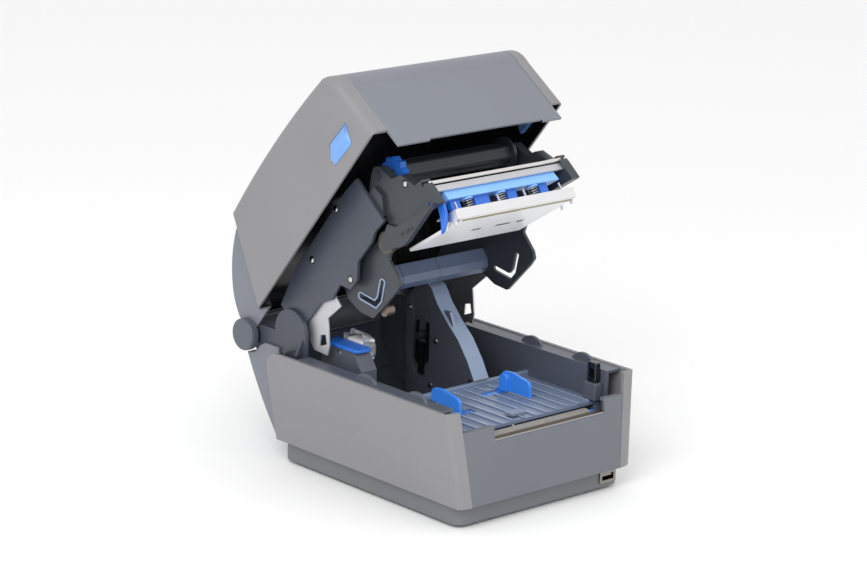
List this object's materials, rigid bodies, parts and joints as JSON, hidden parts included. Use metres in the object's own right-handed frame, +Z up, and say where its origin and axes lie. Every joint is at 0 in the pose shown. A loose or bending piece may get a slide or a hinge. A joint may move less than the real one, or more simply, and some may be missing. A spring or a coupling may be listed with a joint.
{
  "type": "label printer",
  "caption": "Desktop thermal label printer with its cover open, showing the ribbed media bed, platen, roll holder, print head on springs and ribbon carrier.",
  "frame": {"origin": "on the table under the middle of the base's footprint, between the side panels' front and rear edges at the rim", "axes": "+X to the printer's right, +Y to its back, +Z up"},
  "size_m": [0.2162, 0.3043, 0.3464],
  "materials": {
    "light shell": "fine matte grain",
    "dark shell": "fine matte grain",
    "plinth": "fine matte grain",
    "inner plastic": "satin moulded",
    "bed plastic": "semi-gloss moulded",
    "blue plastic": "satin moulded",
    "black plastic": "gloss moulded",
    "white plastic": "satin moulded",
    "platen rubber": "ground rubber",
    "foot rubber": "matte rubber",
    "polished steel": "polished",
    "sheet steel": "zinc-plated sheet",
    "spring steel": "drawn wire",
    "head aluminium": "machined",
    "circuit board": "solder mask",
    "motor metal": "stamped steel",
    "gear plastic": "moulded"
  },
  "bodies": {
    "base": {"base_pan": "plinth", "rubber_feet": "foot rubber", "side_skins": "light shell", "front_panel": "dark shell", "rear_cover": "dark shell", "inner_liners": "inner plastic", "hinge_brackets": "inner plastic", "hinge_pins": "inner plastic", "mechanism_pivot_pins": "polished steel", "media_bed": "bed plastic", "platen_cradle": "inner plastic", "platen_bearings": "blue plastic", "tear_bar": "sheet steel", "drive_plate": "sheet steel", "stepper_motor": "motor metal", "media_bay": "inner plastic", "left_roll_holder": "inner plastic", "post_socket": "inner plastic", "latch_post": "black plastic", "corner_bracket": "sheet steel", "usb_host_port": "sheet steel", "rear_ports": "black plastic", "main_board": "circuit board"},
    "platen": {"platen_roller": "platen rubber", "platen_shaft": "polished steel", "platen_gear": "gear plastic"},
    "idler": {"idler_gear": "gear plastic"},
    "pinion": {"motor_pinion": "gear plastic"},
    "left_guide": {"left_media_guide": "blue plastic"},
    "right_guide": {"right_media_guide": "blue plastic"},
    "guide_gear": {"guide_pinion": "blue plastic"},
    "roll_holder": {"right_roll_holder": "bed plastic", "hub_latch": "black plastic", "holder_screws": "polished steel"},
    "right_hub": {"right_roll_hub": "black plastic"},
    "left_hub": {"left_roll_hub": "white plastic"},
    "holder_lock": {"holder_lock_lever": "blue plastic"},
    "sensor": {"media_sensor": "black plastic"},
    "rocker": {"power_rocker": "black plastic"},
    "cover": {"cover_sides": "light shell", "centre_cover": "dark shell", "rear_shell": "dark shell"},
    "left_latch": {"left_latch_button": "blue plastic"},
    "right_latch": {"right_latch_button": "blue plastic"},
    "mechanism": {"mechanism_plates": "inner plastic", "mechanism_arms": "sheet steel", "mechanism_blocks": "inner plastic", "head_rod": "polished steel", "head_flange": "sheet steel", "print_head": "head aluminium", "head_bracket": "sheet steel", "pressure_bar": "blue plastic", "head_springs": "spring steel", "mechanism_screws": "polished steel"},
    "release": {"head_release_lever": "blue plastic"},
    "take_up": {"take_up_hub": "blue plastic"},
    "carrier": {"carrier_arms": "inner plastic", "carrier_bar": "inner plastic", "carrier_pins": "polished steel"},
    "wheel": {"brake_wheel": "inner plastic"}
  },
  "joints": [
    {"name": "cover_hinge", "type": "hinge", "parent": "base", "child": "cover", "pos_m": [0, 0.1578, 0.1026], "axis": [1, 0, 0], "range_deg": [0, 50.8]},
    {"name": "mechanism_pivot", "type": "hinge", "parent": "base", "child": "mechanism", "pos_m": [0, 0.098, 0.128], "axis": [1, 0, 0], "range_deg": [0, 50.1]},
    {"name": "carrier_fold", "type": "hinge", "parent": "mechanism", "child": "carrier", "pos_m": [0, -0.00525, 0.21454], "axis": [1, 0, 0], "range_deg": [0, 36.7]},
    {"name": "left_latch_press", "type": "slide", "parent": "cover", "child": "left_latch", "axis": [1, 0, 0], "range_m": [0, 0.003], "stiffness_N_per_m": 400},
    {"name": "right_latch_press", "type": "slide", "parent": "cover", "child": "right_latch", "axis": [-1, 0, 0], "range_m": [0, 0.003], "stiffness_N_per_m": 400},
    {"name": "platen_turn", "type": "hinge", "parent": "base", "child": "platen", "pos_m": [0, -0.1, 0.062], "axis": [1, 0, 0], "continuous": true},
    {"name": "idler_turn", "type": "hinge", "parent": "base", "child": "idler", "pos_m": [0, -0.08121, 0.05661], "axis": [1, 0, 0], "continuous": true},
    {"name": "pinion_turn", "type": "hinge", "parent": "base", "child": "pinion", "pos_m": [0, -0.06792, 0.04546], "axis": [1, 0, 0], "continuous": true},
    {"name": "left_guide_slide", "type": "slide", "parent": "base", "child": "left_guide", "axis": [1, 0, 0], "range_m": [-0.022, 0.02]},
    {"name": "right_guide_slide", "type": "slide", "parent": "base", "child": "right_guide", "axis": [1, 0, 0], "range_m": [-0.0201, 0.0221]},
    {"name": "guide_gear_turn", "type": "hinge", "parent": "base", "child": "guide_gear", "pos_m": [0, -0.034, 0.0688], "axis": [0, 0, 1], "range_deg": [-152, 138]},
    {"name": "roll_holder_slide", "type": "slide", "parent": "base", "child": "roll_holder", "axis": [1, 0, 0], "range_m": [-0.034, 0.032]},
    {"name": "right_hub_turn", "type": "hinge", "parent": "roll_holder", "child": "right_hub", "pos_m": [0.022, 0.062, 0.104], "axis": [1, 0, 0], "continuous": true},
    {"name": "left_hub_turn", "type": "hinge", "parent": "base", "child": "left_hub", "pos_m": [-0.047, 0.062, 0.104], "axis": [1, 0, 0], "continuous": true},
    {"name": "holder_lock_slide", "type": "slide", "parent": "base", "child": "holder_lock", "axis": [0, 1, 0], "range_m": [0, 0.006]},
    {"name": "sensor_slide", "type": "slide", "parent": "base", "child": "sensor", "axis": [1, 0, 0], "range_m": [-0.03, 0.03]},
    {"name": "power_rocker_tilt", "type": "hinge", "parent": "base", "child": "rocker", "pos_m": [0.055, 0.1076, 0.0125], "axis": [0, 0, 1], "range_deg": [-14, 0]},
    {"name": "head_release", "type": "hinge", "parent": "mechanism", "child": "release", "pos_m": [-0.07, -0.05672, 0.25709], "axis": [1, 0, 0], "range_deg": [-6, 8]},
    {"name": "take_up_turn", "type": "hinge", "parent": "mechanism", "child": "take_up", "pos_m": [0, 0.008, 0.26793], "axis": [1, 0, 0], "continuous": true},
    {"name": "brake_wheel_turn", "type": "hinge", "parent": "carrier", "child": "wheel", "pos_m": [-0.079, -0.00525, 0.21454], "axis": [1, 0, 0], "continuous": true}
  ],
  "couplings": [
    {"joint": "mechanism_pivot", "follows": "cover_hinge", "ratio": 0.98425},
    {"joint": "carrier_fold", "follows": "cover_hinge", "ratio": 0.72047},
    {"joint": "idler_turn", "follows": "platen_turn", "ratio": -0.72727},
    {"joint": "pinion_turn", "follows": "platen_turn", "ratio": 1.3333},
    {"joint": "right_guide_slide", "follows": "left_guide_slide", "ratio": -1},
    {"joint": "guide_gear_turn", "follows": "left_guide_slide", "rad_per_m": 117.65}
  ]
}
